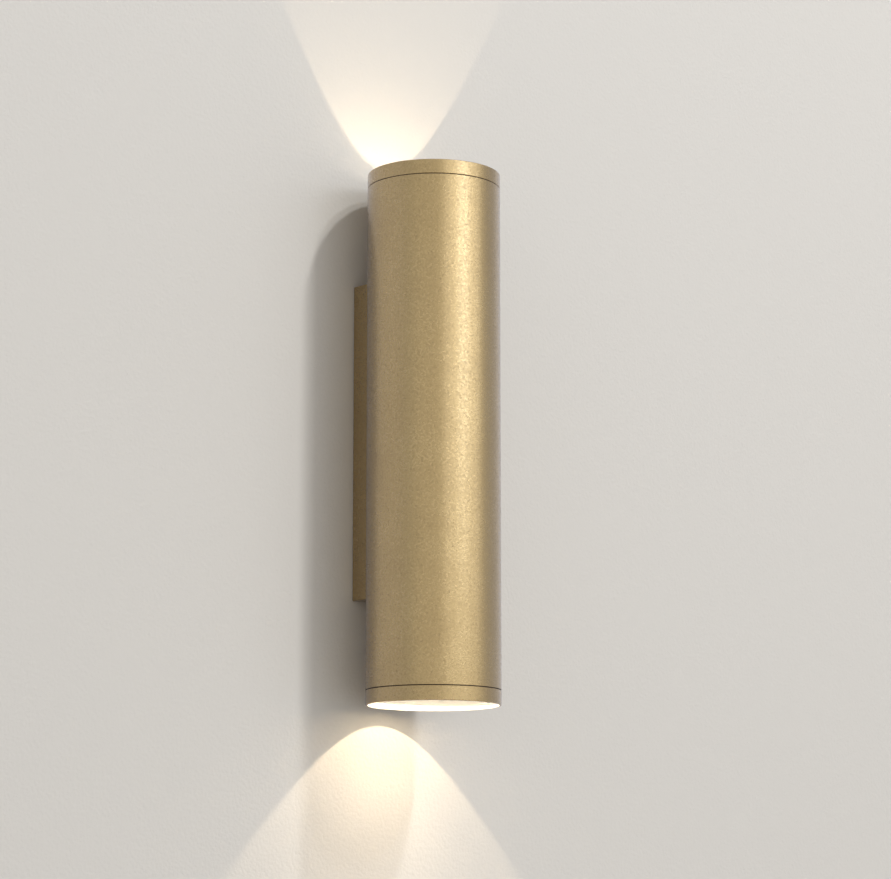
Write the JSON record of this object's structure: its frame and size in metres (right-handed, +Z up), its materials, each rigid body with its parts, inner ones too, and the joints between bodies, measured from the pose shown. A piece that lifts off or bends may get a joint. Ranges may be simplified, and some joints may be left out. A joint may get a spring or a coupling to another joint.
{
  "type": "tube wall light",
  "caption": "Wall light with an upright brass tube that shines up and down, screwed end rings with clear glass, and a box-shaped back that slides on a slotted wall bracket.",
  "frame": {"origin": "centre of the wall bracket's face on the wall, at mid height", "axes": "+Z up along the tube, +Y into the wall, the room on the -Y side, +X to the right seen from the room"},
  "size_m": [0.075, 0.082, 0.3],
  "materials": {
    "aged_brass": "aged, satin, mottled patina",
    "steel": "plated screws and bushes",
    "zinc_steel": "zinc-plated sheet",
    "spring_steel": "spring steel",
    "contact_bronze": "bright",
    "lampholder_ceramic": "glazed white",
    "terminal_plastic": "white polyamide",
    "live_sleeve": "brown silicone sleeve",
    "neutral_sleeve": "blue silicone sleeve",
    "earth_sleeve": "green and yellow silicone sleeve",
    "black_rubber": "black",
    "clear_silicone": "clear silicone",
    "clear_glass": "toughened, clear",
    "lamp_white": "white moulded",
    "lamp_lens": "lamp front lens",
    "pin_metal": "nickel plated"
  },
  "bodies": {
    "bracket": {"wall_bracket": "zinc_steel", "cable_grommet": "black_rubber", "bracket_earth_washer": "steel", "bracket_earth_screw": "contact_bronze"},
    "light": {"body_tube": "aged_brass", "back_box": "aged_brass", "threaded_bushes": "steel", "box_screws": "steel", "chassis": "zinc_steel", "top_lampholder": "lampholder_ceramic", "bottom_lampholder": "lampholder_ceramic", "top_holder_contacts": "contact_bronze", "bottom_holder_contacts": "contact_bronze", "holder_screws": "steel", "holder_nuts": "steel", "terminal_block": "terminal_plastic", "terminal_screws": "steel", "terminal_clamps": "contact_bronze", "live_leads": "live_sleeve", "neutral_leads": "neutral_sleeve", "earth_lead": "earth_sleeve", "earth_eyelet": "steel", "chassis_earth_screw": "contact_bronze", "lock_screws": "steel"},
    "top_seal_carrier": {"top_seal": "black_rubber"},
    "top_end": {"top_ring": "aged_brass", "top_glass_gasket": "clear_silicone", "top_glass": "clear_glass", "top_glass_clip": "spring_steel"},
    "top_lamp": {"top_lamp_body": "lamp_white", "top_lamp_lens": "lamp_lens", "top_lamp_pins": "pin_metal"},
    "bottom_seal_carrier": {"bottom_seal": "black_rubber"},
    "bottom_end": {"bottom_ring": "aged_brass", "bottom_glass_gasket": "clear_silicone", "bottom_glass": "clear_glass", "bottom_glass_clip": "spring_steel"},
    "bottom_lamp": {"bottom_lamp_body": "lamp_white", "bottom_lamp_lens": "lamp_lens", "bottom_lamp_pins": "pin_metal"}
  },
  "joints": [
    {"name": "light_off_bracket", "type": "slide", "parent": "bracket", "child": "light", "axis": [0, -1, 0], "range_m": [0, 0.03]},
    {"name": "top_ring_rise", "type": "slide", "parent": "light", "child": "top_seal_carrier", "axis": [0, 0, 1], "range_m": [0, 0.006]},
    {"name": "top_ring_turn", "type": "hinge", "parent": "top_seal_carrier", "child": "top_end", "pos_m": [0, -0.0445, 0.142], "axis": [0, 0, 1], "range_deg": [0, 1440]},
    {"name": "top_lamp_twist", "type": "hinge", "parent": "light", "child": "top_lamp", "pos_m": [0, -0.0445, 0.0525], "axis": [0, 0, 1], "range_deg": [0, 30]},
    {"name": "bottom_ring_rise", "type": "slide", "parent": "light", "child": "bottom_seal_carrier", "axis": [0, 0, -1], "range_m": [0, 0.006]},
    {"name": "bottom_ring_turn", "type": "hinge", "parent": "bottom_seal_carrier", "child": "bottom_end", "pos_m": [0, -0.0445, -0.142], "axis": [0, 0, -1], "range_deg": [0, 1440]},
    {"name": "bottom_lamp_twist", "type": "hinge", "parent": "light", "child": "bottom_lamp", "pos_m": [0, -0.0445, -0.0525], "axis": [0, 0, -1], "range_deg": [0, 30]}
  ],
  "couplings": [
    {"joint": "top_ring_rise", "follows": "top_ring_turn", "m_per_rad": 0.00023873},
    {"joint": "bottom_ring_rise", "follows": "bottom_ring_turn", "m_per_rad": 0.00023873}
  ]
}
